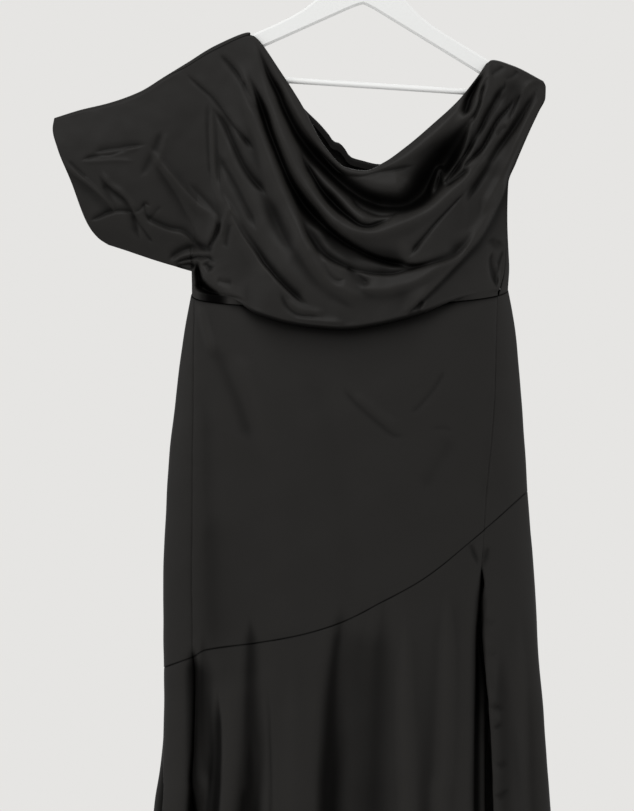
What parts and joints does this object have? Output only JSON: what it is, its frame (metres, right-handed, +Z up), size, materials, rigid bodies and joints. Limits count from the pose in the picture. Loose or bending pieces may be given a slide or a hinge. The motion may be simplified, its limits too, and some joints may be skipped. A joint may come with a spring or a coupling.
{
  "type": "satin evening dress on a hanger",
  "caption": "Long black satin dress with a cowl neck, one wide draped sleeve and a side slit, hanging on a white hanger.",
  "frame": {"origin": "the point inside the bend of the hanger's hook where it bears on a rail", "axes": "+X to the viewer's right, -Y towards the viewer, who sees the front, +Z up"},
  "size_m": [0.6558, 0.204, 1.5707],
  "materials": {
    "cloth": "satin",
    "hanger": "painted",
    "hook": "satin"
  },
  "bodies": {
    "root": {"bodice_front": "cloth", "bodice_back": "cloth", "skirt_front_upper": "cloth", "skirt_back_upper": "cloth", "skirt_front_lower": "cloth", "skirt_back_lower": "cloth", "hanger_arms": "hanger", "hanger_bar": "hanger", "hanger_hook": "hook"}
  },
  "joints": []
}
